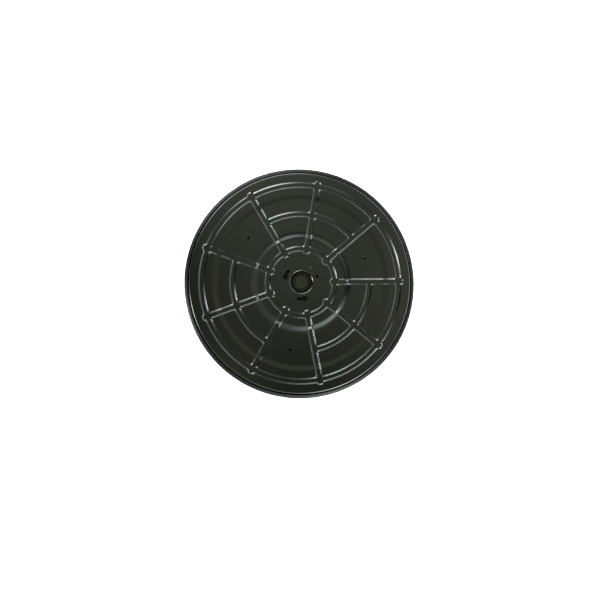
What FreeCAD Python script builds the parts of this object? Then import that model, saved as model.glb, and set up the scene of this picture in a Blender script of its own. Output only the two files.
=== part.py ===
import FreeCAD, Part
import math
import os

# Rotary surface cleaner deck, 20 inch class.  Millimetres, +Z up.
# Origin: centre of the deck on the ground plane that the bristle tips rest on.
# Bearings (angles) round the deck are counted clockwise from +Y, seen from above.

V = FreeCAD.Vector

# ---------------------------------------------------------------- dimensions
DECK_R = 256.0          # outer radius over the skirt holder
SHEET = 1.5             # pressed steel sheet
HUB_Z = 98.0            # top face of the flat hub plate
PANEL_Z = 102.0         # top face of the spoke panels, a soft step up from the hub
MARGIN_Z = 103.4        # top face of the flat outer margin, another slight step up
HUB_STEP = (96.5, 112.5)      # radii of the slope hub -> panels
MARGIN_STEP = (182.5, 196.5)  # radii of the slope panels -> margin
WALL_R = 245.0          # outside of the turned-down wall
RIM_R = 3.0             # bend radius of the rim
WALL_Z = 60.0           # lower edge of the wall
HUB_HOLE_R = 25.2       # central hole

BEAD_H = 2.4            # depth of the grooves pressed into the top face
BEAD_BASE = 6.4         # half width at the mouth
BEAD_TOP = 4.0          # half width at the floor
RING_BEADS = (75.0, 218.2)    # closed ring beads, centre radii
ARC_BEAD_R = 151.9            # ring bead present in six of nine sectors
ARC_SPANS = ((90.0, 170.0), (210.0, 290.0), (330.0, 410.0))
SPOKES = [10.0 + 40.0 * i for i in range(9)]
SPOKE_R = (63.5, 229.0)

PLAIN_SECTORS = (70.0, 190.0, 310.0)   # sectors without the arc bead
CASTER_PCD = 305.0      # three small holes in the plain sectors
CASTER_HOLE_R = 3.0
HUB_PCD = 75.0          # three fixing points round the hub
HUB_HOLES = (70.0, 190.0, 310.0)
HUB_SMALL_R = 3.5       # clearance for M6
TAP_R = 2.5             # M6 thread in the swivel flange, minor size
KEY_BIG_R = 5.9         # insertion end of the two keyhole slots
KEY_TURN = 21.5         # degrees from small end back to the big end
KEYHOLES = (190.0, 310.0)

# skirt
HOLDER_IN = WALL_R + 0.3
HOLDER_Z = (58.0, 99.6)
HOLDER_T = 1.2
BACKING_R = (250.0, 254.2)
BACKING_Z = (63.0, 74.0)
BACKING_T = 0.8
CORE_R, CORE_Z, CORE_WIRE_R = 252.1, 70.5, 0.8
RIVETS = 12
RIVET_Z = 80.0

# swivel
FLANGE_R = 58.0
FLANGE_Z = (90.5, HUB_Z - SHEET)
BARREL_R = 24.0
BARREL_Z = 50.5
BOSS_R = 19.0
MOAT_R = 26.0           # moat round the inlet boss, under the deck's hole
BOSS_Z = 93.5
PORT_R = 8.3            # G 3/8 inlet thread, minor size
SEAL_BORE_R = 11.0
BEARING_OD_R = 16.0     # 15 x 32 x 9 ball bearings
BEARING_ID_R = 7.5
BEARING_W = 9.0
UPPER_BRG_Z = 67.0
LOWER_BRG_Z = 54.0
BALL_PITCH_R = 11.75
BALL_R = 2.3
BALL_N = 9
GROOVE_R = 2.5
STUD_CIRCLE_R = 49.0
STUD_ANGLES = (10.0, 130.0, 250.0)

# rotor
ARM_Z = 32.0
ARM_R = 6.75
ARM_BORE_R = 4.5
ARM_X = (8.3, 208.0)
HUB_BLOCK_Z = (22.0, 47.5)
HUB_BLOCK_AF = 36.0
NOZZLE_X = 212.0
NOZZLE_TILT = 15.0      # degrees the jets lean round the arm, drives the spin


# ---------------------------------------------------------------- helpers
def cyl(r, z0, z1, x=0.0, y=0.0):
    return Part.makeCylinder(r, z1 - z0, V(x, y, z0))


def tube(ri, ro, z0, z1, x=0.0, y=0.0):
    return cyl(ro, z0, z1, x, y).cut(cyl(ri, z0 - 1, z1 + 1, x, y))


def polar(bearing, r):
    a = math.radians(bearing)
    return r * math.sin(a), r * math.cos(a)


def face_of(points):
    pts = [V(*p) for p in points]
    return Part.Face(Part.makePolygon(pts + [pts[0]]))


def revolve(points, angle=360.0):
    """Section points (r, z) in the XZ plane, turned about Z."""
    face = face_of([(r, 0.0, z) for r, z in points])
    return face.revolve(V(0, 0, 0), V(0, 0, 1), angle)


def prism(af, z0, z1, sides=6):
    rc = af / 2.0 / math.cos(math.pi / sides)
    pts = [V(rc * math.cos(2 * math.pi * i / sides + math.pi / sides),
             rc * math.sin(2 * math.pi * i / sides + math.pi / sides), z0)
           for i in range(sides)]
    return Part.Face(Part.makePolygon(pts + [pts[0]])).extrude(V(0, 0, z1 - z0))


def turned(shape, bearing):
    """Turn a shape built along +Y to a clockwise bearing."""
    s = shape.copy()
    s.rotate(V(0, 0, 0), V(0, 0, 1), -bearing)
    return s


def save(name, shape):
    shapes = shape if isinstance(shape, list) else [shape]
    solids = []
    for s in shapes:
        solids.extend(s.Solids)
    for s in solids:
        assert s.isValid() and s.Volume > 0.1, name
    out = solids[0] if len(solids) == 1 else Part.makeCompound(solids)
    out.exportStep("parts/" + name + ".step")
    print("%-22s solids %2d  volume %9.1f mm3" % (name, len(solids), sum(s.Volume for s in solids)))


# ---------------------------------------------------------------- deck shell
def top_z(r):
    pts = [(0, HUB_Z), (HUB_STEP[0], HUB_Z), (HUB_STEP[1], PANEL_Z),
           (MARGIN_STEP[0], PANEL_Z), (MARGIN_STEP[1], MARGIN_Z), (WALL_R, MARGIN_Z)]
    for (r0, z0), (r1, z1) in zip(pts, pts[1:]):
        if r <= r1:
            return z0 + (z1 - z0) * (r - r0) / (r1 - r0)
    return MARGIN_Z


def arc_points(cr, cz, rad, steps=6):
    return [(cr + rad * math.sin(math.pi / 2 * i / steps), cz + rad * math.cos(math.pi / 2 * i / steps))
            for i in range(steps + 1)]


def dish(offset, floor):
    """Solid under the pressed profile, lowered square to the sheet by offset."""
    t = offset
    lean1 = math.atan2(HUB_Z - PANEL_Z, HUB_STEP[1] - HUB_STEP[0])
    lean2 = math.atan2(PANEL_Z - MARGIN_Z, MARGIN_STEP[1] - MARGIN_STEP[0])
    s1, s2 = t * math.tan(lean1 / 2), t * math.tan(lean2 / 2)
    pts = [(0, floor), (0, HUB_Z - t), (HUB_STEP[0] - s1, HUB_Z - t), (HUB_STEP[1] - s1, PANEL_Z - t),
           (MARGIN_STEP[0] - s2, PANEL_Z - t), (MARGIN_STEP[1] - s2, MARGIN_Z - t)]
    pts += arc_points(WALL_R - RIM_R, MARGIN_Z - RIM_R, RIM_R - t)
    pts += [(WALL_R - t, floor)]
    return revolve(pts)


LEAN = (BEAD_BASE - BEAD_TOP) / BEAD_H          # widening of a bead per mm of depth
SIDE = SHEET / math.sin(math.atan2(1.0, LEAN))  # sheet thickness measured level


def bead_section(under):
    """(half width, height) pairs of a groove, from its floor up to clear of the sheet.
    under 0 is the groove cut in the top face, 1 the ridge it makes underneath."""
    lift = 2.0
    if not under:
        return [(BEAD_TOP, -BEAD_H), (BEAD_BASE, 0.0), (BEAD_BASE + LEAN * lift, lift)]
    deep = BEAD_H + SHEET
    return [(BEAD_BASE - LEAN * deep + SIDE, -deep), (BEAD_BASE + SIDE, 0.0), (BEAD_BASE + LEAN * lift + SIDE, lift)]


def ring_bead(rc, under, start=0.0, angle=360.0):
    z = top_z(rc)
    sec = bead_section(under)
    pts = [(rc - w, z + h) for w, h in reversed(sec)] + [(rc + w, z + h) for w, h in sec]
    s = revolve(pts, angle)
    # the section starts on +X, which is bearing 90; a turn runs counter-clockwise
    s.rotate(V(0, 0, 0), V(0, 0, 1), 90.0 - (start + angle))
    return s


def spoke_bead(under):
    """Radial groove along +Y, following the height of the pressed profile."""
    r0, r1 = SPOKE_R
    grow = SIDE * 0.8 if under else 0.0
    stations = [(r0 - grow, 0.30), (r0 + 3.5 - grow, 1.0), (HUB_STEP[0], 1.0), (HUB_STEP[1], 1.0),
                (MARGIN_STEP[0], 1.0), (MARGIN_STEP[1], 1.0), (r1 - 3.5 + grow, 1.0), (r1 + grow, 0.30)]
    wires = []
    for r, k in stations:
        z = top_z(r)
        low = SHEET if under else 0.0
        pts = []
        for w, h in bead_section(under):
            hh = h if h >= 0 else -(BEAD_H * k) - low
            ww = w * (0.45 + 0.55 * k)
            pts.append((ww, hh))
        ring = [V(-w, r, z + h) for w, h in reversed(pts)] + [V(w, r, z + h) for w, h in pts]
        wires.append(Part.makePolygon(ring + [ring[0]]))
    return Part.makeLoft(wires, True, True)


def deck_shell():
    outer = dish(0.0, WALL_Z)
    inner = dish(SHEET, WALL_Z - 2)
    so, si = spoke_bead(0), spoke_bead(1)
    outs = [ring_bead(rc, 0) for rc in RING_BEADS]
    ins = [ring_bead(rc, 1) for rc in RING_BEADS]
    for a, b in ARC_SPANS:
        outs.append(ring_bead(ARC_BEAD_R, 0, a, b - a))
        ins.append(ring_bead(ARC_BEAD_R, 1, a, b - a))
    for b in SPOKES:
        outs.append(turned(so, b))
        ins.append(turned(si, b))
    shell = outer.cut(outs).cut(inner.cut(ins))
    tools = [cyl(HUB_HOLE_R, HUB_Z - 6, HUB_Z + 6)]
    for b in PLAIN_SECTORS:
        x, y = polar(b, CASTER_PCD / 2)
        tools.append(cyl(CASTER_HOLE_R, PANEL_Z - 6, PANEL_Z + 6, x, y))
    for b in HUB_HOLES:
        x, y = polar(b, HUB_PCD / 2)
        tools.append(cyl(HUB_SMALL_R, HUB_Z - 6, HUB_Z + 6, x, y))
    for b in KEYHOLES:
        x, y = polar(b - KEY_TURN, HUB_PCD / 2)
        tools.append(cyl(KEY_BIG_R, HUB_Z - 6, HUB_Z + 6, x, y))
        neck = revolve([(HUB_PCD / 2 - HUB_SMALL_R * 0.9, HUB_Z - 6), (HUB_PCD / 2 + HUB_SMALL_R * 0.9, HUB_Z - 6),
                        (HUB_PCD / 2 + HUB_SMALL_R * 0.9, HUB_Z + 6), (HUB_PCD / 2 - HUB_SMALL_R * 0.9, HUB_Z + 6)], KEY_TURN)
        neck.rotate(V(0, 0, 0), V(0, 0, 1), 90.0 - b)
        tools.append(neck)
    return shell.cut(tools)


# ---------------------------------------------------------------- skirt
def skirt():
    ri, ro = HOLDER_IN, DECK_R
    z0, z1 = HOLDER_Z
    t = HOLDER_T
    # the inner leg is joggled outwards near the top, which leaves a dark V beside the rim
    pts = [(ri, z0), (ri, z1 - 8.6), (ri + 2.2, z1 - 2.4), (ri + 3.2, z1 - 0.5), (ri + 4.4, z1)]
    pts += [(ro - 1.6 + 1.6 * math.sin(math.pi / 2 * i / 5), z1 - 1.6 + 1.6 * math.cos(math.pi / 2 * i / 5)) for i in range(6)]
    pts += [(ro, z0), (ro - t, z0), (ro - t, z1 - 2.0), (ro - t - 0.7, z1 - t), (ri + 4.4, z1 - t),
            (ri + 3.9, z1 - 2.2), (ri + t, z1 - 9.0), (ri + t, z0)]
    holder = revolve(pts)
    b0, b1 = BACKING_R
    c0, c1 = BACKING_Z
    bt = BACKING_T
    backing = revolve([(b0, c0), (b0, c1), (b1, c1), (b1, c0), (b1 - bt, c0), (b1 - bt, c1 - bt), (b0 + bt, c1 - bt), (b0 + bt, c0)])
    g = 0.1
    bristles = revolve([(b0 + 0.1, 0.0), (b0 + 0.1, c0 - 1.2), (b0 + bt + g, c0 - 0.2), (b0 + bt + g, c1 - bt - g),
                        (b1 - bt - g, c1 - bt - g), (b1 - bt - g, c0 - 0.2), (b1 - 0.1, c0 - 1.2), (b1 - 0.1, 0.0)])
    bristles = bristles.cut(Part.makeTorus(CORE_R, CORE_WIRE_R + 0.03, V(0, 0, CORE_Z)))
    wire = Part.makeTorus(CORE_R, CORE_WIRE_R, V(0, 0, CORE_Z))
    rivets, holes = [], []
    for i in range(RIVETS):
        b = 30.0 * i + 15.0
        y0 = WALL_R - SHEET
        shank = Part.makeCylinder(1.95, HOLDER_IN + t - y0 + 1.5, V(0, y0 - 0.5, RIVET_Z), V(0, 1, 0))
        head = Part.makeCone(2.6, 4.2, 1.3, V(0, y0 - 1.37, RIVET_Z), V(0, 1, 0))
        bulb = Part.makeCylinder(2.7, 1.8, V(0, HOLDER_IN + t + 0.01, RIVET_Z), V(0, 1, 0))
        rivets.append(turned(shank.fuse([head, bulb]), b))
        holes.append(turned(Part.makeCylinder(2.0, 6.0, V(0, y0 - 1.5, RIVET_Z), V(0, 1, 0)), b))
    return holder.cut(holes), backing, bristles, wire, rivets, holes


# ---------------------------------------------------------------- swivel, fixed side
def swivel_housing():
    f0, f1 = FLANGE_Z
    pts = [(0, BARREL_Z), (BARREL_R, BARREL_Z), (BARREL_R, f0 - 6), (BARREL_R + 6, f0), (FLANGE_R - 1, f0), (FLANGE_R, f0 + 1),
           (FLANGE_R, f1), (MOAT_R, f1), (MOAT_R, f0 - 0.5), (BOSS_R, f0 - 0.5), (BOSS_R, BOSS_Z - 0.8), (BOSS_R - 0.8, BOSS_Z), (0, BOSS_Z)]
    body = revolve(pts)
    zt = UPPER_BRG_Z + BEARING_W
    tools = [cyl(PORT_R, 82.5, BOSS_Z + 1), cyl(5.0, 80.0, 83.0), cyl(SEAL_BORE_R, zt - 0.5, 81.0),
             cyl(BEARING_OD_R, BARREL_Z - 1, zt), cyl(17.2, LOWER_BRG_Z - 1.7, LOWER_BRG_Z - 0.1)]
    for b in HUB_HOLES:
        x, y = polar(b, HUB_PCD / 2)
        tools.append(cyl(TAP_R, f0 - 8, f1 + 1, x, y))
    for b in STUD_ANGLES:
        x, y = polar(b, STUD_CIRCLE_R)
        tools.append(cyl(4.3, f0 - 1, f1 + 1, x, y))
    return body.cut(tools)


def hub_fixings():
    studs, washers, nuts = [], [], []
    f0, f1 = FLANGE_Z
    for b in STUD_ANGLES:
        x, y = polar(b, STUD_CIRCLE_R)
        studs.append(cyl(4.0, f0 - 10.5, f1, x, y))
        washers.append(tube(4.25, 8.0, f0 - 1.5, f0 - 0.02, x, y))
        n = prism(13.0, f0 - 8.1, f0 - 1.55)
        n = n.common(Part.makeCone(7.6, 6.3, 9.5, V(0, 0, f0 - 13.0)).fuse(cyl(7.6, f0 - 14.0, f0 - 8.1)).fuse(cyl(7.6, f0 - 7.5, f0 - 1.0)).fuse(Part.makeCone(6.6, 7.6, 0.6, V(0, 0, f0 - 8.1))))
        n.translate(V(x, y, 0))
        nuts.append(n.cut(cyl(4.03, f0 - 20, f0, x, y)))
    return studs, washers, nuts


def inlet_plug():
    head = cyl(13.5, BOSS_Z + 0.02, BOSS_Z + 2.0).fuse(Part.makeCone(13.5, 12.9, 0.4, V(0, 0, BOSS_Z + 2.0)))
    stem = tube(6.6, PORT_R - 0.1, BOSS_Z - 9.0, BOSS_Z + 0.5)
    return head.fuse(stem)


# ---------------------------------------------------------------- bearings
def bearing(z0):
    zc = z0 + BEARING_W / 2
    groove = Part.makeTorus(BALL_PITCH_R, GROOVE_R, V(0, 0, zc))
    outer = tube(13.6, BEARING_OD_R - 0.04, z0 + 0.02, z0 + BEARING_W - 0.02).cut(groove)
    inner = tube(BEARING_ID_R + 0.03, 9.9, z0 + 0.02, z0 + BEARING_W - 0.02).cut(groove)
    balls, pockets = [], []
    for i in range(BALL_N):
        x, y = polar(360.0 * i / BALL_N, BALL_PITCH_R)
        balls.append(Part.makeSphere(BALL_R, V(x, y, zc)))
        pocket = Part.makeCylinder(BALL_R + 0.08, 8.0, V(0, 8.0, zc), V(0, 1, 0))
        pockets.append(turned(pocket, 360.0 * i / BALL_N))
    cage = tube(11.0, 12.5, zc - 3.0, zc + 3.0).cut(pockets)
    return outer, inner, balls, cage


# ---------------------------------------------------------------- rotor
def rotor_shaft():
    s = cyl(BEARING_ID_R, LOWER_BRG_Z, 80.0).fuse([cyl(9.0, 47.5, LOWER_BRG_Z), cyl(7.0, 37.6, 47.5)])
    top = UPPER_BRG_Z + BEARING_W
    s = s.cut([tube(7.0, 9.5, top + 0.2, top + 1.3), cyl(4.0, 37.0, 81.0)])
    return s


def rotor_hub():
    z0, z1 = HUB_BLOCK_Z
    h = prism(HUB_BLOCK_AF, z0, z1)
    h = h.common(Part.makeCone(18.6, 21.6, 3.0, V(0, 0, z0)).fuse(cyl(21.6, z0 + 3.0, z1 - 2.0)).fuse(Part.makeCone(21.6, 19.6, 2.0, V(0, 0, z1 - 2.0))))
    # turn a pair of flats square to the arms
    h.rotate(V(0, 0, 0), V(0, 0, 1), 0.0)
    x = HUB_BLOCK_AF / 2
    tools = [cyl(7.05, 37.5, z1 + 1), cyl(4.0, ARM_Z, 38.0),
             Part.makeCylinder(ARM_BORE_R, 2 * x + 10, V(-x - 5, 0, ARM_Z), V(1, 0, 0)),
             Part.makeCylinder(ARM_R + 0.05, x + 10, V(8.2, 0, ARM_Z), V(1, 0, 0)),
             Part.makeCylinder(ARM_R + 0.05, x + 10, V(-8.2, 0, ARM_Z), V(-1, 0, 0))]
    return h.cut(tools)


def spray_arm():
    a0, a1 = ARM_X
    s = Part.makeCylinder(ARM_R, a1 - a0, V(a0, 0, ARM_Z), V(1, 0, 0))
    return s.cut(Part.makeCylinder(ARM_BORE_R, a1 - a0 + 2, V(a0 - 1, 0, ARM_Z), V(1, 0, 0)))


def lock_nut():
    x0 = HUB_BLOCK_AF / 2 + 0.05
    n = prism(22.0, 0.0, 7.0).common(Part.makeCone(11.4, 12.7, 1.0, V(0, 0, 0)).fuse(cyl(12.7, 1.0, 6.0)).fuse(Part.makeCone(12.7, 11.4, 1.0, V(0, 0, 6.0))))
    n = n.cut(cyl(ARM_R + 0.04, -1, 8))
    n.rotate(V(0, 0, 0), V(0, 1, 0), 90)
    n.translate(V(x0, 0, ARM_Z))
    return n


def nozzle_holder():
    """Elbow at the arm's tip: level socket, then a leg down for the nozzle."""
    x = NOZZLE_X
    socket = Part.makeCylinder(9.6, 26.0, V(x - 17.0, 0, ARM_Z), V(1, 0, 0))
    cap = Part.makeCone(9.6, 7.6, 2.0, V(x + 9.0, 0, ARM_Z), V(1, 0, 0))
    leg = cyl(9.0, ARM_Z - 12.0, ARM_Z, x)
    body = socket.fuse([cap, leg])
    tools = [Part.makeCylinder(ARM_R + 0.05, ARM_X[1] + 0.1 - (x - 18.0), V(x - 18.0, 0, ARM_Z), V(1, 0, 0)),
             Part.makeCylinder(4.0, x + 4 - ARM_X[1], V(ARM_X[1], 0, ARM_Z), V(1, 0, 0)),
             cyl(4.0, ARM_Z - 13, ARM_Z, x), cyl(5.6, ARM_Z - 13, ARM_Z - 7.1, x)]
    return body.cut(tools)


def spray_nozzle():
    x = NOZZLE_X
    stem = cyl(5.55, ARM_Z - 12.5, ARM_Z - 7.2, x)
    hexa = prism(14.0, ARM_Z - 16.0, ARM_Z - 12.02)
    hexa.translate(V(x, 0, 0))
    tip = Part.makeCone(4.2, 5.4, 2.2, V(x, 0, ARM_Z - 18.2))
    n = stem.fuse([hexa, tip])
    slot = Part.makeBox(12.0, 1.0, 1.2, V(x - 6.0, -0.5, ARM_Z - 18.3))
    return n.cut([cyl(0.7, ARM_Z - 19, ARM_Z, x), cyl(3.0, ARM_Z - 13.0, ARM_Z - 4, x), slot])


def leaned(shape):
    s = shape.copy()
    s.rotate(V(0, 0, ARM_Z), V(1, 0, 0), NOZZLE_TILT)
    return s


def both_sides(shape):
    t = shape.copy()
    t.rotate(V(0, 0, 0), V(0, 0, 1), 180)
    return [shape, t]


def main():
    os.makedirs("parts", exist_ok=True)
    holder, backing, bristles, wire, rivets, rivet_holes = skirt()
    save("deck_shell", deck_shell().cut(rivet_holes))
    save("skirt_holder", holder)
    save("skirt_backing", backing)
    save("skirt_core_wire", wire)
    save("skirt_bristles", bristles)
    save("skirt_rivets", rivets)

    save("swivel_housing", swivel_housing())
    studs, washers, nuts = hub_fixings()
    save("weld_studs", studs)
    save("flange_washers", washers)
    save("flange_nuts", nuts)
    save("inlet_plug", inlet_plug())
    save("pressure_seal", tube(BEARING_ID_R + 0.05, SEAL_BORE_R - 0.04, 77.7, 79.9))
    save("seal_backup_ring", tube(5.4, SEAL_BORE_R - 0.04, 80.1, 80.98))
    save("dust_seal", tube(9.06, BEARING_OD_R - 0.04, BARREL_Z, BARREL_Z + 1.6))
    ring = tube(12.6, 17.1, LOWER_BRG_Z - 1.65, LOWER_BRG_Z - 0.15)
    save("housing_circlip", ring.cut(Part.makeBox(9.0, 12.0, 6.0, V(-4.5, 8.0, LOWER_BRG_Z - 4))))

    for name, z0 in (("upper", UPPER_BRG_Z), ("lower", LOWER_BRG_Z)):
        outer, inner, balls, cage = bearing(z0)
        save(name + "_bearing_outer_race", outer)
        save(name + "_bearing_inner_race", inner)
        save(name + "_bearing_balls", balls)
        save(name + "_bearing_cage", cage)
    z0, z1 = LOWER_BRG_Z + BEARING_W + 0.02, UPPER_BRG_Z - 0.02
    save("outer_spacer", tube(13.8, BEARING_OD_R - 0.04, z0, z1))
    save("inner_spacer", tube(BEARING_ID_R + 0.05, 9.4, z0, z1))

    save("rotor_shaft", rotor_shaft())
    top = UPPER_BRG_Z + BEARING_W
    clip = tube(7.03, 9.3, top + 0.22, top + 1.25)
    save("shaft_circlip", clip.cut(Part.makeBox(5.0, 8.0, 4.0, V(-2.5, 4.0, top - 1))))
    save("splash_disc", tube(9.03, 30.0, 48.7, 49.7))
    save("rotor_hub", rotor_hub())
    arm_a, arm_b = both_sides(spray_arm())
    save("spray_arm_right", arm_a)
    save("spray_arm_left", arm_b)
    save("arm_lock_nuts", both_sides(lock_nut()))
    save("nozzle_holders", both_sides(leaned(nozzle_holder())))
    save("spray_nozzles", both_sides(leaned(spray_nozzle())))


main()
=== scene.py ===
import bpy
import bmesh
import math
import random
import numpy as np
from mathutils import Vector, Matrix


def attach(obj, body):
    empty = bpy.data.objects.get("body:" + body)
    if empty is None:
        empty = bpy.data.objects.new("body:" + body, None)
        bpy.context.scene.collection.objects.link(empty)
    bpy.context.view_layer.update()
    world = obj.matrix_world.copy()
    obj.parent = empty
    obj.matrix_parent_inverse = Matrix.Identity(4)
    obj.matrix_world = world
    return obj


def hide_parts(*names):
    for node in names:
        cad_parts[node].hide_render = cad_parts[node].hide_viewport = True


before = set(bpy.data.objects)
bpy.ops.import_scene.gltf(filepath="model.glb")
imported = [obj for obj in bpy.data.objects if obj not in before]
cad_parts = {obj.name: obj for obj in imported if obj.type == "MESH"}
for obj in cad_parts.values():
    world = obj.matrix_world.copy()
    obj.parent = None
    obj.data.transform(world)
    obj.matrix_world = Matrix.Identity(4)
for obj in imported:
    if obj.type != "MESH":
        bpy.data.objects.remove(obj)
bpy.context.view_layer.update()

MM = 0.001
scene = bpy.context.scene

# ------------------------------------------------------------------ camera
def camera():
    cam = bpy.data.cameras.new("camera")
    obj = bpy.data.objects.new("camera", cam)
    scene.collection.objects.link(obj)
    cam.sensor_width = 36.0
    cam.sensor_fit = "HORIZONTAL"
    focal_px = 395.43
    cam.lens = focal_px / 600.0 * 36.0
    pos = Vector((-0.06374, -0.08980, 0.97103))
    target = Vector((-0.00362, -0.04024, 0.100))
    roll = 0.012
    fwd = (target - pos).normalized()
    up = Vector((math.sin(roll), math.cos(roll), 0.0))
    right = fwd.cross(up).normalized()
    up = right.cross(fwd)
    m = Matrix.Identity(4)
    for i in range(3):
        m[i][0], m[i][1], m[i][2], m[i][3] = right[i], up[i], -fwd[i], pos[i]
    obj.matrix_world = m
    cam.clip_start, cam.clip_end = 0.01, 50.0
    scene.camera = obj


camera()
scene.view_settings.view_transform = "Standard"
scene.view_settings.look = "None"
scene.view_settings.exposure = 0.0
scene.view_settings.gamma = 1.0

# ------------------------------------------------------------------ light
def direction(bearing, lean):
    """Unit vector at a compass bearing (clockwise from +Y) and a lean from the vertical."""
    b, f = math.radians(bearing), math.radians(lean)
    return Vector((math.sin(f) * math.sin(b), math.sin(f) * math.cos(b), math.cos(f)))


# soft lights of the studio: bearing, lean from vertical, tightness, brightness
WALLS = ((0, 7.6), (20, 0.6), (42, 6.0), (60, 3.3), (80, 4.4), (100, 5.2), (138, 9.6), (156, 24.0),
         (180, 1.0), (202, 1.6), (240, 0.5), (320, 12.5), (335, 5.0), (348, 4.8))
HIGH = ((0, 2.5), (20, 0.65), (40, 0.50), (60, 0.45), (80, 0.40), (100, 0.45), (120, 0.70), (140, 2.2), (158, 8.5),
        (180, 1.1), (197, 3.2), (240, 0.80), (260, 1.90), (325, 4.1), (340, 2.2))
TOP = ((0, 0, 80, 0.24), (40, 10, 120, 0.12), (0, 13, 60, 0.22), (335, 13, 60, 0.22), (15, 22, 45, 0.22),
       (45, 22, 45, 0.22), (75, 22, 45, 0.46), (105, 22, 45, 0.40), (222, 21, 60, 1.15), (345, 22, 45, 0.16))
SOFT = [(b, lean, 45, a) for b, a in WALLS for lean in (62, 82)]
SOFT += [(261, 50, 140, 62.0), (261, 66, 140, 44.0), (261, 82, 140, 16.0), (98, 88, 60, 6.0)]
SOFT += [(b, 36, 70, a) for b, a in HIGH] + list(TOP)
BASE = 0.02


def studio():
    world = bpy.data.worlds.new("studio")
    scene.world = world
    world.use_nodes = True
    t = world.node_tree
    t.nodes.clear()
    out = t.nodes.new("ShaderNodeOutputWorld")
    tc = t.nodes.new("ShaderNodeTexCoord")
    total = None
    parts = []
    for bearing, lean, k, amp in SOFT:
        tint = (0.93, 1.0, 0.97) if lean > 30 else (0.98, 1.03, 0.82)
        d = t.nodes.new("ShaderNodeVectorMath")
        d.operation = "DOT_PRODUCT"
        t.links.new(tc.outputs["Generated"], d.inputs[0])
        d.inputs[1].default_value = direction(bearing, lean)
        m = t.nodes.new("ShaderNodeMath")
        m.operation = "MULTIPLY_ADD"
        t.links.new(d.outputs["Value"], m.inputs[0])
        m.inputs[1].default_value = k
        m.inputs[2].default_value = -k
        e = t.nodes.new("ShaderNodeMath")
        e.operation = "EXPONENT"
        t.links.new(m.outputs[0], e.inputs[0])
        b = t.nodes.new("ShaderNodeBackground")
        b.inputs["Color"].default_value = (tint[0], tint[1], tint[2], 1)
        s_ = t.nodes.new("ShaderNodeMath")
        s_.operation = "MULTIPLY"
        t.links.new(e.outputs[0], s_.inputs[0])
        s_.inputs[1].default_value = amp
        t.links.new(s_.outputs[0], b.inputs["Strength"])
        parts.append(b.outputs[0])
    b = t.nodes.new("ShaderNodeBackground")
    b.inputs["Color"].default_value = (1.0, 1.02, 0.92, 1)
    b.inputs["Strength"].default_value = BASE
    total = b.outputs[0]
    for p in parts:
        a = t.nodes.new("ShaderNodeAddShader")
        t.links.new(total, a.inputs[0])
        t.links.new(p, a.inputs[1])
        total = a.outputs[0]
    t.links.new(total, out.inputs[0])


studio()


# ------------------------------------------------------------------ node materials
def new_material(name):
    m = bpy.data.materials.new(name)
    m.use_nodes = True
    t = m.node_tree
    t.nodes.clear()
    o = t.nodes.new("ShaderNodeOutputMaterial")
    p = t.nodes.new("ShaderNodeBsdfPrincipled")
    t.links.new(p.outputs["BSDF"], o.inputs["Surface"])
    return m, t, p


def obj_coords(t, scale=(1, 1, 1)):
    c = t.nodes.new("ShaderNodeTexCoord")
    mp = t.nodes.new("ShaderNodeMapping")
    mp.inputs["Scale"].default_value = scale
    t.links.new(c.outputs["Object"], mp.inputs["Vector"])
    return mp.outputs["Vector"]


def noise(t, vec, scale, detail=3.0, rough=0.55, distortion=0.0):
    n = t.nodes.new("ShaderNodeTexNoise")
    n.inputs["Scale"].default_value = scale
    n.inputs["Detail"].default_value = detail
    n.inputs["Roughness"].default_value = rough
    n.inputs["Distortion"].default_value = distortion
    t.links.new(vec, n.inputs["Vector"])
    return n.outputs["Fac"]


def ramp_between(t, fac, stops):
    r = t.nodes.new("ShaderNodeValToRGB")
    els = r.color_ramp.elements
    while len(els) < len(stops):
        els.new(0.5)
    for e, (pos, col) in zip(els, stops):
        e.position = pos
        e.color = (col[0], col[1], col[2], 1) if not isinstance(col, (int, float)) else (col, col, col, 1)
    t.links.new(fac, r.inputs["Fac"])
    return r.outputs["Color"]


def bump(t, height, distance, strength=1.0, normal=None):
    b = t.nodes.new("ShaderNodeBump")
    b.inputs["Strength"].default_value = strength
    b.inputs["Distance"].default_value = distance
    t.links.new(height, b.inputs["Height"])
    if normal is not None:
        t.links.new(normal, b.inputs["Normal"])
    return b.outputs["Normal"]


def mix_colour(t, fac, a, b):
    n = t.nodes.new("ShaderNodeMix")
    n.data_type = "RGBA"
    if isinstance(fac, float):
        n.inputs[0].default_value = fac
    else:
        t.links.new(fac, n.inputs[0])
    for sock, v in ((n.inputs[6], a), (n.inputs[7], b)):
        if isinstance(v, tuple):
            sock.default_value = (v[0], v[1], v[2], 1)
        else:
            t.links.new(v, sock)
    return n.outputs[2]


def math_node(t, op, a, b=None):
    n = t.nodes.new("ShaderNodeMath")
    n.operation = op
    for i, v in enumerate((a, b)):
        if v is None:
            continue
        if isinstance(v, (int, float)):
            n.inputs[i].default_value = v
        else:
            t.links.new(v, n.inputs[i])
    return n.outputs[0]


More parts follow.
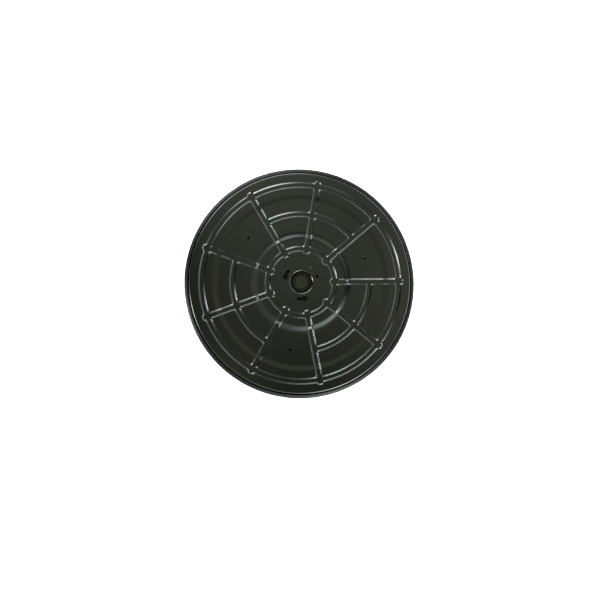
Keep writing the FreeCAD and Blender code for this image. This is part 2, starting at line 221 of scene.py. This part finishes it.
def deck_enamel():
    m, t, p = new_material("deck_enamel")
    vec = obj_coords(t)
    tone = noise(t, vec, 9.0, 4.0, 0.6)
    col = ramp_between(t, tone, [(0.30, (0.0005, 0.0006, 0.0004)), (0.55, (0.0008, 0.0009, 0.0006)), (0.8, (0.0014, 0.0015, 0.0010))])
    at = t.nodes.new("ShaderNodeAttribute")
    at.attribute_name = "groove"
    dust = noise(t, vec, 160.0, 5.0, 0.7)
    dust = ramp_between(t, dust, [(0.50, 0.0), (0.72, 1.0)])
    fac = math_node(t, "MULTIPLY", at.outputs["Fac"], math_node(t, "MULTIPLY", dust, 0.25))
    col = mix_colour(t, fac, col, (0.012, 0.012, 0.009))
    # a few pale specks and scuffs in the enamel
    sp = t.nodes.new("ShaderNodeTexVoronoi")
    sp.inputs["Scale"].default_value = 55.0
    sp.inputs["Randomness"].default_value = 1.0
    t.links.new(vec, sp.inputs["Vector"])
    speck = ramp_between(t, sp.outputs["Distance"], [(0.0, 1.0), (0.035, 0.0)])
    rare = ramp_between(t, noise(t, vec, 23.0, 1.0), [(0.60, 0.0), (0.64, 1.0)])
    fac2 = math_node(t, "MULTIPLY", math_node(t, "MULTIPLY", speck, rare), 0.6)
    col = mix_colour(t, fac2, col, (0.06, 0.06, 0.05))
    t.links.new(col, p.inputs["Base Color"])
    r1 = noise(t, vec, 14.0, 4.0, 0.6)
    rgh = ramp_between(t, r1, [(0.30, 0.105), (0.75, 0.145)])
    rr = math_node(t, "ADD", rgh, math_node(t, "MULTIPLY", fac, 0.5))
    t.links.new(rr, p.inputs["Roughness"])
    peel = noise(t, vec, 420.0, 2.0, 0.5)
    sway = noise(t, vec, 22.0, 2.0, 0.5)
    n1 = bump(t, sway, 0.00030, 0.25)
    n2 = bump(t, peel, 0.00002, 0.12, n1)
    t.links.new(n2, p.inputs["Normal"])
    p.inputs["IOR"].default_value = 1.5
    return m


def painted_steel(name, base, rough, peel_scale=380.0):
    m, t, p = new_material(name)
    vec = obj_coords(t)
    tone = noise(t, vec, 18.0, 4.0, 0.6)
    lo = tuple(c * 0.75 for c in base)
    hi = tuple(c * 1.3 for c in base)
    t.links.new(ramp_between(t, tone, [(0.3, lo), (0.7, hi)]), p.inputs["Base Color"])
    t.links.new(ramp_between(t, noise(t, vec, 30.0, 4.0), [(0.3, rough * 0.85), (0.7, rough * 1.2)]), p.inputs["Roughness"])
    t.links.new(bump(t, noise(t, vec, peel_scale, 2.0), 0.00005, 0.35), p.inputs["Normal"])
    return m


def housing_steel_painted_light():
    """Black phosphated steel. The machined boss under the central hole is painted olive as light falling through the
    hole, and the flange beyond stays near-black as painted shade under the deck sheet.
    """
    m = painted_steel("phosphate_black", (0.0006, 0.0007, 0.0005), 0.5, 900.0)
    t = m.node_tree
    p = [n for n in t.nodes if n.type == "BSDF_PRINCIPLED"][0]
    dark = p.inputs["Base Color"].links[0].from_socket
    vec = obj_coords(t)
    flat = t.nodes.new("ShaderNodeVectorMath")
    flat.operation = "MULTIPLY"
    t.links.new(vec, flat.inputs[0])
    flat.inputs[1].default_value = (1.0, 1.0, 0.0)
    size = t.nodes.new("ShaderNodeVectorMath")
    size.operation = "LENGTH"
    t.links.new(flat.outputs["Vector"], size.inputs[0])
    r = math_node(t, "MULTIPLY", size.outputs["Value"], 10.0)
    # painted light and shade: olive inside 23.5 mm radius where light falls through the hole, near-black beyond 26.2 mm
    # as shade under the deck sheet
    hole_light = ramp_between(t, r, [(0.235, (1.0, 1.0, 1.0)), (0.262, (0.0, 0.0, 0.0))])
    t.links.new(mix_colour(t, hole_light, dark, (0.0052, 0.0054, 0.0033)), p.inputs["Base Color"])
    return m


def brushed(name, base, rough, stretch=(1, 1, 1), scale=60.0):
    m, t, p = new_material(name)
    vec = obj_coords(t, stretch)
    grain = noise(t, vec, scale, 6.0, 0.7)
    lo = tuple(c * 0.78 for c in base)
    hi = tuple(min(1.0, c * 1.12) for c in base)
    t.links.new(ramp_between(t, grain, [(0.3, lo), (0.7, hi)]), p.inputs["Base Color"])
    t.links.new(ramp_between(t, grain, [(0.25, rough * 0.8), (0.75, rough * 1.35)]), p.inputs["Roughness"])
    t.links.new(bump(t, grain, 0.00003, 0.5), p.inputs["Normal"])
    p.inputs["Metallic"].default_value = 1.0
    return m


def shine(mat, level):
    """Strength of the surface reflection of a painted or moulded material."""
    for n in mat.node_tree.nodes:
        if n.type == "BSDF_PRINCIPLED":
            n.inputs["Specular IOR Level"].default_value = level
    return mat


def zinc(name="zinc_plate"):
    m, t, p = new_material(name)
    vec = obj_coords(t)
    v = t.nodes.new("ShaderNodeTexVoronoi")
    v.inputs["Scale"].default_value = 420.0
    t.links.new(vec, v.inputs["Vector"])
    c = ramp_between(t, v.outputs["Distance"], [(0.0, (0.50, 0.52, 0.53)), (0.8, (0.68, 0.69, 0.68))])
    stain = ramp_between(t, noise(t, vec, 90.0, 4.0), [(0.45, 0.0), (0.75, 0.5)])
    t.links.new(mix_colour(t, stain, c, (0.46, 0.44, 0.38)), p.inputs["Base Color"])
    t.links.new(ramp_between(t, noise(t, vec, 140.0, 3.0), [(0.3, 0.26), (0.7, 0.42)]), p.inputs["Roughness"])
    t.links.new(bump(t, noise(t, vec, 700.0, 2.0), 0.00003, 0.4), p.inputs["Normal"])
    p.inputs["Metallic"].default_value = 1.0
    return m


def moulded(name, base, rough=0.5, grain_scale=900.0, depth=0.00006):
    m, t, p = new_material(name)
    vec = obj_coords(t)
    tone = noise(t, vec, 70.0, 4.0, 0.6)
    lo = tuple(c * 0.82 for c in base)
    hi = tuple(c * 1.22 for c in base)
    t.links.new(ramp_between(t, tone, [(0.3, lo), (0.7, hi)]), p.inputs["Base Color"])
    t.links.new(ramp_between(t, noise(t, vec, 200.0, 3.0), [(0.3, rough * 0.88), (0.7, min(1.0, rough * 1.15))]), p.inputs["Roughness"])
    t.links.new(bump(t, noise(t, vec, grain_scale, 2.0), depth, 0.5), p.inputs["Normal"])
    return m


MAT = {
    "deck": deck_enamel(),
    "holder": shine(painted_steel("holder_enamel", (0.0012, 0.0013, 0.0009), 0.26), 0.24),
    "rivet": painted_steel("rivet_black", (0.02, 0.02, 0.02), 0.35),
    "housing": shine(housing_steel_painted_light(), 0.03),
    "zinc": zinc(),
    "stainless": brushed("stainless_drawn", (0.58, 0.58, 0.57), 0.24, (4, 60, 60), 30.0),
    "turned": brushed("stainless_turned", (0.60, 0.60, 0.59), 0.22, (6, 6, 90), 40.0),
    "milled": brushed("stainless_milled", (0.50, 0.50, 0.48), 0.32, (40, 6, 40), 50.0),
    "bearing": brushed("bearing_steel", (0.72, 0.73, 0.75), 0.12, (10, 10, 120), 40.0),
    "spring": brushed("spring_steel", (0.24, 0.25, 0.28), 0.34, (20, 20, 20), 60.0),
    "brass": brushed("machined_brass", (0.72, 0.53, 0.22), 0.25, (8, 8, 90), 40.0),
    "rubber": moulded("nitrile_rubber", (0.022, 0.022, 0.022), 0.62, 1100.0),
    "ptfe": moulded("ptfe", (0.80, 0.79, 0.74), 0.42, 800.0, 0.00003),
    "plug": shine(moulded("olive_polymer", (0.0066, 0.0068, 0.0037), 0.6, 1000.0, 0.00005), 0.03),
    "bristle": moulded("bristle_nylon", (0.018, 0.018, 0.018), 0.42, 300.0, 0.00003),
}
NODE_MAT = {
    "deck_shell": "deck", "skirt_holder": "holder", "skirt_backing": "zinc", "skirt_core_wire": "zinc",
    "skirt_bristles": "bristle", "skirt_rivets": "rivet", "swivel_housing": "housing", "weld_studs": "zinc",
    "flange_washers": "zinc", "flange_nuts": "zinc", "inlet_plug": "plug", "pressure_seal": "rubber",
    "seal_backup_ring": "ptfe", "dust_seal": "rubber", "housing_circlip": "spring", "shaft_circlip": "spring",
    "upper_bearing_outer_race": "bearing", "upper_bearing_inner_race": "bearing", "upper_bearing_balls": "bearing",
    "upper_bearing_cage": "brass", "lower_bearing_outer_race": "bearing", "lower_bearing_inner_race": "bearing",
    "lower_bearing_balls": "bearing", "lower_bearing_cage": "brass", "outer_spacer": "turned", "inner_spacer": "turned",
    "rotor_shaft": "turned", "splash_disc": "stainless", "rotor_hub": "milled", "spray_arm_right": "stainless",
    "spray_arm_left": "stainless", "arm_lock_nuts": "zinc", "nozzle_holders": "milled", "spray_nozzles": "brass",
}
for name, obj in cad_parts.items():
    mat = MAT[NODE_MAT[name]]
    obj.data.materials.clear()
    obj.data.materials.append(mat)


# ------------------------------------------------------------------ mesh helpers
def link(name, mesh, mat, body, node=None):
    o = bpy.data.objects.new(name, mesh)
    scene.collection.objects.link(o)
    mesh.materials.append(mat)
    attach(o, body)
    if node:
        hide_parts(*([node] if isinstance(node, str) else node))
    return o


def mesh_from(name, verts, faces):
    me = bpy.data.meshes.new(name)
    me.from_pydata([tuple(v) for v in verts], [], [tuple(f) for f in faces])
    me.update()
    return me


def smooth_by_angle(me, degrees):
    bm = bmesh.new()
    bm.from_mesh(me)
    lim = math.radians(degrees)
    for f in bm.faces:
        f.smooth = True
    for e in bm.edges:
        if len(e.link_faces) == 2:
            e.smooth = e.calc_face_angle(0.0) < lim
        else:
            e.smooth = False
    bm.to_mesh(me)
    bm.free()


def lathe(profile, segments, closed=True):
    """Vertices and faces of a closed (r, z) section turned about Z, in metres."""
    prof = np.array(profile, float) * MM
    n, k = segments, len(prof)
    a = np.linspace(0, 2 * np.pi, n, endpoint=False)
    v = np.empty((n, k, 3))
    v[:, :, 0] = np.sin(a)[:, None] * prof[None, :, 0]
    v[:, :, 1] = np.cos(a)[:, None] * prof[None, :, 0]
    v[:, :, 2] = prof[None, :, 1]
    faces = []
    rng = range(k) if closed else range(k - 1)
    for i in range(n):
        j = (i + 1) % n
        for c in rng:
            d = (c + 1) % k
            faces.append((i * k + c, i * k + d, j * k + d, j * k + c))
    return v.reshape(-1, 3), faces


def outward(me):
    bm = bmesh.new()
    bm.from_mesh(me)
    bmesh.ops.recalc_face_normals(bm, faces=bm.faces)
    bm.to_mesh(me)
    bm.free()


# ------------------------------------------------------------------ deck skin
SHEET = 1.5
HUB_Z, PANEL_Z, MARGIN_Z = 98.0, 102.0, 103.4
WALL_R, RIM_R, WALL_Z = 245.0, 2.2, 60.0
HOLE_R = 25.2
DEPTH = 2.4
SPOKES = [10.0 + 40.0 * i for i in range(9)]
SPOKE_HALF = 5.5
RINGS = ((75.0, 4.95), (218.2, 5.3))
MID_RING = (151.9, 4.95)
MID_SPANS = ((90.0, 170.0), (210.0, 290.0), (330.0, 410.0))
HALF_WALL = 1.3


def ramp_height(r, inner=(95.5, 101.5, 105.0, 115.5)):
    """Height of the pressed dish without its grooves: two soft steps up, going outwards."""
    r = np.asarray(r, float)
    grid = np.arange(0.0, 260.0, 0.25)
    lean = np.zeros_like(grid)
    def bump_lean(a, b, c, d, top):
        up = np.clip((grid - a) / (b - a), 0, 1)
        dn = np.clip((d - grid) / (d - c), 0, 1)
        w = np.minimum(up, dn)
        return top * w * w * (3 - 2 * w)
    l1 = bump_lean(*inner, 1.0)
    l2 = bump_lean(182.0, 188.5, 191.5, 198.0, 1.0)
    h1 = np.cumsum(l1) * 0.25
    h2 = np.cumsum(l2) * 0.25
    h = HUB_Z + (PANEL_Z - HUB_Z) * h1 / h1[-1] + (MARGIN_Z - PANEL_Z) * h2 / h2[-1]
    return np.interp(r, grid, h)


def smin(a, b, k):
    h = np.clip(0.5 + 0.5 * (b - a) / k, 0, 1)
    return b * (1 - h) + a * h - k * h * (1 - h)


def groove_distance(x, y):
    """Signed distance in mm to the middle of the groove walls, negative in the groove."""
    r = np.hypot(x, y)
    bearing = np.degrees(np.arctan2(x, y)) % 360.0
    d = np.full_like(r, 1e3)
    for rc, hw in RINGS:
        d = np.minimum(d, np.abs(r - rc) - hw)
    mid = np.full_like(r, 1e3)
    for a, b in MID_SPANS:
        half = (b - a) / 2
        off = np.abs((bearing - (a + b) / 2 + 180) % 360 - 180) - half
        side = np.radians(off) * r
        mid = np.minimum(mid, np.maximum(np.abs(r - MID_RING[0]) - MID_RING[1], side))
    sp = np.full_like(r, 1e3)
    for s in SPOKES:
        c, sn = math.cos(math.radians(s)), math.sin(math.radians(s))
        along = x * sn + y * c
        across = x * c - y * sn
        q1 = np.abs(across) - (SPOKE_HALF - 3.2)
        q2 = np.abs(along - (64.6 + 228.6) / 2) - ((228.6 - 64.6) / 2 - 3.2)
        box = np.hypot(np.maximum(q1, 0), np.maximum(q2, 0)) + np.minimum(np.maximum(q1, q2), 0) - 3.2
        sp = np.minimum(sp, box)
    d = smin(d, sp, 5.0)
    d = smin(d, mid, 5.0)
    return d


def top_height(x, y):
    r = np.hypot(x, y)
    d = groove_distance(x, y)
    w = np.clip((HALF_WALL - d) / (2 * HALF_WALL), 0, 1)
    w = w * w * (3 - 2 * w)
    # the floor of a groove climbs the inner step more sharply than the panel beside it
    z = ramp_height(r) * (1 - w) + ramp_height(r, (99.0, 102.0, 105.0, 109.0)) * w - DEPTH * w
    a = math.radians(33.3)
    q = np.hypot(x - 38.0 * math.sin(a), y - 38.0 * math.cos(a))
    z = z + 0.8 * np.clip(1 - (q / 3.0) ** 2, 0, 1) ** 2
    return z, w


def angular_lines():
    """Offsets (mm, parallel to a spoke) and shares of the cell between two spokes."""
    offs = [0.0, 2.2, 3.5, 4.1, 4.7, 5.2, 5.7, 6.2, 6.8, 7.6, 9.2]
    inner = 25
    return offs, inner


def deck_skin():
    offs, inner = angular_lines()
    lines = []      # (spoke index, kind, value)
    for k in range(9):
        for u in [-o for o in reversed(offs[1:])] + offs:
            lines.append((k, "off", u))
        for i in range(1, inner + 1):
            lines.append((k, "cell", i / (inner + 1.0)))
    n = len(lines)

    def bearings(r):
        scale = np.minimum(1.0, r * 0.26 / offs[-1])
        out = np.empty((n,) + np.shape(r))
        edge = np.degrees(np.arcsin(np.clip(offs[-1] * scale / r, -1, 1)))
        for i, (k, kind, v) in enumerate(lines):
            if kind == "off":
                out[i] = SPOKES[k] + np.degrees(np.arcsin(np.clip(v * scale / r, -1, 1)))
            else:
                out[i] = SPOKES[k] + edge + v * (40.0 - 2 * edge)
        return out

    def dense(a, b, step):
        m = max(1, int(round((b - a) / step)))
        return list(np.linspace(a, b, m, endpoint=False))

    # radial stations on the top face
    rr = []
    rr += dense(28.2, 35.0, 1.9) + dense(35.0, 41.0, 0.6) + dense(41.0, 61.5, 2.9) + dense(61.5, 68.5, 0.8)
    rr += dense(68.5, 73.5, 0.55) + dense(73.5, 78.0, 1.6) + dense(78.0, 83.2, 0.55)
    rr += dense(83.2, 95.0, 3.0) + dense(95.0, 117.0, 1.2) + dense(117.0, 144.4, 4.0)
    rr += dense(144.4, 149.6, 0.55) + dense(149.6, 154.4, 1.6) + dense(154.4, 159.6, 0.55)
    rr += dense(159.6, 182.0, 3.8) + dense(182.0, 198.5, 1.5) + dense(198.5, 210.4, 3.0)
    rr += dense(210.4, 215.8, 0.55) + dense(215.8, 220.6, 1.6) + dense(220.6, 226.0, 0.55)
    rr += dense(226.0, 232.0, 0.75) + dense(232.0, WALL_R - RIM_R, 3.2)
    rr = np.array(rr)
    th = np.radians(bearings(rr))
    X, Y = rr * np.sin(th), rr * np.cos(th)
    Z, W = top_height(X, Y)
    cols = [(X[:, i], Y[:, i], Z[:, i], W[:, i]) for i in range(len(rr))]

    def ring(r, z):
        t = np.radians(bearings(np.array([r]))[:, 0])
        return (r * np.sin(t), r * np.cos(t), np.full(n, z), np.zeros(n))

    # central hole: the sheared edge rolls down into the hole
    roll, drop = 2.7, 0.85
    inner_edge = [ring(HOLE_R, HUB_Z - drop - 0.15)]
    for i in range(9):
        f = i / 9.0
        inner_edge.append(ring(HOLE_R + roll * f, HUB_Z - drop * (1 - f) ** 2))
    # rim: bend, wall, lower edge, inside of the wall, inside of the bend
    rim = []
    for i in range(0, 9):
        a = math.pi / 2 * i / 8
        rim.append(ring(WALL_R - RIM_R + RIM_R * math.sin(a), MARGIN_Z - RIM_R + RIM_R * math.cos(a)))
    rim += [ring(WALL_R, 85.0), ring(WALL_R, WALL_Z + 0.25), ring(WALL_R - 0.25, WALL_Z), ring(WALL_R - SHEET + 0.25, WALL_Z),
            ring(WALL_R - SHEET, WALL_Z + 0.25), ring(WALL_R - SHEET, 85.0)]
    for i in range(5):
        a = math.pi / 2 * (1 - i / 4.0)
        rim.append(ring(WALL_R - RIM_R + (RIM_R - SHEET) * math.sin(a), MARGIN_Z - RIM_R + (RIM_R - SHEET) * math.cos(a)))
    # underside: the grooves show as ridges, offset through the sheet
    under = []
    lo = dense(232.0, WALL_R - RIM_R, 5.0) + dense(226.5, 232.0, 1.4) + dense(209.5, 226.5, 1.15) + dense(198.5, 209.5, 4.0)
    lo += dense(182.0, 198.5, 3.0) + dense(160.5, 182.0, 6.0) + dense(143.5, 160.5, 1.15) + dense(117.0, 143.5, 7.0)
    lo += dense(95.0, 117.0, 2.2) + dense(84.5, 95.0, 4.0) + dense(67.0, 84.5, 1.15) + dense(60.5, 67.0, 1.3) + dense(30.0, 60.5, 6.0)
    lo = np.array(sorted(set(np.round(lo, 4)))[::-1])
    tb = np.radians(bearings(lo))
    XB, YB = lo * np.sin(tb), lo * np.cos(tb)
    d = groove_distance(XB, YB) - SHEET * 0.75
    w = np.clip((HALF_WALL - d) / (2 * HALF_WALL), 0, 1)
    w = w * w * (3 - 2 * w)
    ZB = ramp_height(lo)[None, :] - SHEET - DEPTH * w
    under = [(XB[:, i], YB[:, i], ZB[:, i], np.zeros(n)) for i in range(len(lo))]
    close = [ring(HOLE_R + 0.3, HUB_Z - SHEET), ring(HOLE_R, HUB_Z - SHEET + 0.2)]

    loops = inner_edge + cols + rim + under + close
    verts = np.stack([np.stack(l[:3], -1) for l in loops], 0)      # loops x n x 3
    weight = np.stack([l[3] for l in loops], 0)
    L = len(loops)
    idx = np.arange(L * n).reshape(L, n)
    a = idx
    b = np.roll(idx, -1, axis=1)
    a2 = np.roll(idx, -1, axis=0)
    b2 = np.roll(b, -1, axis=0)
    faces = np.stack([a, a2, b2, b], -1).reshape(-1, 4)
    me = bpy.data.meshes.new("deck_skin")
    me.vertices.add(L * n)
    me.vertices.foreach_set("co", (verts.reshape(-1, 3) * MM).astype(np.float32).ravel())
    me.loops.add(len(faces) * 4)
    me.loops.foreach_set("vertex_index", faces.astype(np.int32).ravel())
    me.polygons.add(len(faces))
    me.polygons.foreach_set("loop_start", np.arange(0, len(faces) * 4, 4, dtype=np.int32))
    me.polygons.foreach_set("loop_total", np.full(len(faces), 4, dtype=np.int32))
    me.update(calc_edges=True)
    at = me.attributes.new("groove", "FLOAT", "POINT")
    at.data.foreach_set("value", weight.astype(np.float32).ravel())
    outward(me)
    return me


def cutter():
    """One mesh that cuts the hub holes, the keyholes and the small panel holes, with a slightly flared mouth."""
    bm = bmesh.new()

    def prism_from(outline, z_mid, flare=0.5):
        # outline: list of (x, y); flared near the top face
        cx = sum(p[0] for p in outline) / len(outline)
        cy = sum(p[1] for p in outline) / len(outline)
        levels = [(-6.0, 0.0), (-flare, 0.0), (0.0, flare), (3.0, flare + 3.0)]
        rings = []
        m = len(outline)
        for dz, grow in levels:
            ring = []
            for i, (x, y) in enumerate(outline):
                x0, y0 = outline[i - 1]
                x1, y1 = outline[(i + 1) % m]
                tx, ty = x1 - x0, y1 - y0
                l = math.hypot(tx, ty) or 1.0
                nx, ny = ty / l, -tx / l
                if nx * (x - cx) + ny * (y - cy) < 0 and grow == 0:
                    pass
                ring.append(bm.verts.new(((x + nx * grow) * MM, (y + ny * grow) * MM, (z_mid + dz) * MM)))
            rings.append(ring)
        for r0, r1 in zip(rings, rings[1:]):
            for i in range(m):
                j = (i + 1) % m
                bm.faces.new((r0[i], r0[j], r1[j], r1[i]))
        bm.faces.new(list(reversed(rings[0])))
        bm.faces.new(rings[-1])

    def circle(x, y, r, n=28):
        return [(x + r * math.cos(2 * math.pi * i / n), y + r * math.sin(2 * math.pi * i / n)) for i in range(n)]

    def at(bearing, r):
        a = math.radians(bearing)
        return r * math.sin(a), r * math.cos(a)

    for b in (70.0, 190.0, 310.0):
        prism_from(circle(*at(b, 152.5), 3.0), float(ramp_height(152.5)), 0.1)
    prism_from(circle(*at(70.0, 37.5), 3.5), HUB_Z, 0.06)
    for b in (190.0, 310.0):
        # keyhole: big round end, necked curved slot, small round end
        R0, rs, rb, turn = 37.5, 3.5, 5.9, 21.5
        pts = []
        # walk counter-clockwise seen from above: bearing decreases along the outer side
        small_c, big_c = b, b - turn
        half_small = 180.0
        def local(bearing, rad, ang):
            """Point on a circle round the hole centre; ang 0 outward, 90 towards larger bearing."""
            cx, cy = at(bearing, R0)
            a = math.radians(bearing)
            ox, oy = math.sin(a), math.cos(a)          # outward
            tx, ty = math.cos(a), -math.sin(a)         # towards larger bearing
            g = math.radians(ang)
            return cx + rad * (ox * math.cos(g) + tx * math.sin(g)), cy + rad * (oy * math.cos(g) + ty * math.sin(g))
        cap = [local(small_c, rs, 180.0 - 180.0 * i / 14) for i in range(15)]            # inner side round to outer side, through larger bearing
        outer = [at(small_c - turn * f, R0 + rs * 0.9) for f in (0.2, 0.38, 0.54)]
        big = [local(big_c, rb, a) for a in np.linspace(57.0, -237.0, 30)]
        inner = [at(small_c - turn * f, R0 - rs * 0.9) for f in (0.54, 0.38, 0.2)]
        pts = cap + outer + big + inner
        area = sum(p[0] * q[1] - q[0] * p[1] for p, q in zip(pts, pts[1:] + pts[:1]))
        if area < 0:
            pts = pts[::-1]
        prism_from(pts, HUB_Z, 0.06)
    bmesh.ops.recalc_face_normals(bm, faces=bm.faces)
    me = bpy.data.meshes.new("cutter")
    bm.to_mesh(me)
    bm.free()
    return me


skin = deck_skin()
deck = bpy.data.objects.new("deck_skin", skin)
scene.collection.objects.link(deck)
cut = bpy.data.objects.new("cutter", cutter())
scene.collection.objects.link(cut)
mod = deck.modifiers.new("holes", "BOOLEAN")
mod.operation = "DIFFERENCE"
mod.solver = "EXACT"
mod.object = cut
dg = bpy.context.evaluated_depsgraph_get()
done = bpy.data.meshes.new_from_object(deck.evaluated_get(dg))
deck.modifiers.clear()
deck.data = done
bpy.data.objects.remove(cut)
smooth_by_angle(done, 40)
done.materials.clear()
done.materials.append(MAT["deck"])
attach(deck, "deck")
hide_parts("deck_shell")
print("deck_skin faces", len(done.polygons))

# ------------------------------------------------------------------ skirt holder
def arc(cx, cz, r, a0, a1, n):
    return [(cx + r * math.sin(math.radians(a0 + (a1 - a0) * i / n)), cz + r * math.cos(math.radians(a0 + (a1 - a0) * i / n))) for i in range(n + 1)]


HI, HO, HZ0, HZ1, HT = 245.3, 256.0, 58.0, 99.6, 1.2
CR = math.tan(math.radians(12))
CX = HI + 4.0
OT = HZ1 - (HO - 0.5 - CX) * CR
prof = [(HI, HZ0 + 0.3), (HI, HZ1 - 9.0)]
prof += [(HI + 0.15, HZ1 - 7.9), (HI + 2.35, HZ1 - 2.0)]
prof += arc(CX, HZ1 - 1.5, 1.5, -74, 12, 8)
prof += arc(HO - 0.5, OT - 0.5, 0.5, 12, 90, 5)
prof += [(HO, HZ0 + 0.3), (HO - 0.3, HZ0), (HO - HT + 0.3, HZ0), (HO - HT, HZ0 + 0.3)]
prof += [(HO - HT, OT - 2.2), (HO - HT - 0.4, OT - HT - 0.4), (HO - HT - 1.2, OT - HT + 0.1), (CX + 0.3, HZ1 - HT - 0.1)]
prof += [(HI + 3.3, HZ1 - 3.0), (HI + 1.35, HZ1 - 8.6), (HI + HT, HZ1 - 9.5), (HI + HT, HZ0 + 0.3), (HI + HT - 0.3, HZ0), (HI + 0.3, HZ0)]
v, f = lathe(prof, 360)
me = mesh_from("holder_ring", v, f)
outward(me)
smooth_by_angle(me, 50)
link("holder_ring", me, MAT["holder"], "deck", "skirt_holder")

# ------------------------------------------------------------------ bristles
def bristles():
    rnd = random.Random(11)
    verts, faces = [], []
    top = 62.6
    count = 6400
    for i in range(count):
        b = 2 * math.pi * (i + rnd.random()) / count * 1.0
        row = i % 5
        r = 250.75 + 0.72 * row + rnd.uniform(-0.2, 0.2)
        lean = rnd.gauss(0, 0.010)
        flare = (row - 2) * 0.22 + rnd.uniform(-0.25, 0.3)
        zt = rnd.uniform(0.0, 1.1)
        rad = rnd.uniform(0.30, 0.42)
        rb = min(255.0, r + flare)
        base = len(verts)
        sb, cb = math.sin(b), math.cos(b)
        b2 = b + lean
        mid_b = b + lean * 0.35
        for z, rr_, bb, k in ((top, r, b, 1.0), (top * 0.45, r + (rb - r) * 0.3, mid_b, 0.95), (zt, rb, b2, 0.7)):
            s, c = math.sin(bb), math.cos(bb)
            for j in range(3):
                a = 2 * math.pi * j / 3 + i
                dr, dt = rad * k * math.cos(a), rad * k * math.sin(a)
                verts.append((((rr_ + dr) * s + dt * c) * MM, ((rr_ + dr) * c - dt * s) * MM, z * MM))
        for lev in range(2):
            o = base + lev * 3
            for j in range(3):
                k = (j + 1) % 3
                faces.append((o + j, o + k, o + 3 + k, o + 3 + j))
        faces.append((base, base + 2, base + 1))
        faces.append((base + 6, base + 7, base + 8))
    # packed root that keeps light out behind the filaments
    pv, pf = lathe([(251.4, 4.0), (251.2, 73.0), (253.0, 73.0), (252.8, 4.0)], 240)
    o = len(verts)
    verts += [tuple(p) for p in pv]
    faces += [tuple(o + i for i in q) for q in pf]
    me = mesh_from("bristle_strip", verts, faces)
    outward(me)
    return me


me = bristles()
for p in me.polygons:
    p.use_smooth = False
link("bristle_strip", me, MAT["bristle"], "deck", "skirt_bristles")

# ------------------------------------------------------------------ inlet plug
BOSS_Z = 93.5
prof = [(0.0001, BOSS_Z + 1.55), (5.0, BOSS_Z + 1.55), (5.8, BOSS_Z + 1.62), (6.3, BOSS_Z + 1.9)]
prof += [(7.4, BOSS_Z + 1.95), (10.2, BOSS_Z + 1.95), (10.6, BOSS_Z + 2.2), (11.3, BOSS_Z + 2.38), (12.6, BOSS_Z + 2.36)]
prof += arc(12.7, BOSS_Z + 1.6, 0.75, 10, 90, 4)
prof += [(13.5, BOSS_Z + 0.2), (13.3, BOSS_Z + 0.02), (8.2, BOSS_Z + 0.02), (8.1, BOSS_Z - 8.6), (7.8, BOSS_Z - 9.0), (6.7, BOSS_Z - 9.0), (6.6, BOSS_Z - 8.7), (6.6, BOSS_Z + 0.3), (0.0001, BOSS_Z + 0.3)]
v, f = lathe(prof, 72, closed=False)
me = mesh_from("plug_cap", v, f)
bm = bmesh.new(); bm.from_mesh(me)
bmesh.ops.remove_doubles(bm, verts=bm.verts, dist=2e-6)
bm.to_mesh(me); bm.free()
outward(me)
smooth_by_angle(me, 35)
link("plug_cap", me, MAT["plug"], "deck", "inlet_plug")

# ------------------------------------------------------------------ floor
me = mesh_from("floor", [(-6, -6, 0), (6, -6, 0), (6, 6, 0), (-6, 6, 0)], [(0, 1, 2, 3)])
floor = bpy.data.objects.new("floor", me)
scene.collection.objects.link(floor)
m, t, p = new_material("floor_white")
vec = obj_coords(t)
t.links.new(ramp_between(t, noise(t, vec, 2.0, 2.0), [(0.3, (0.90, 0.90, 0.90)), (0.7, (0.93, 0.93, 0.93))]), p.inputs["Base Color"])
p.inputs["Roughness"].default_value = 0.9
me.materials.append(m)
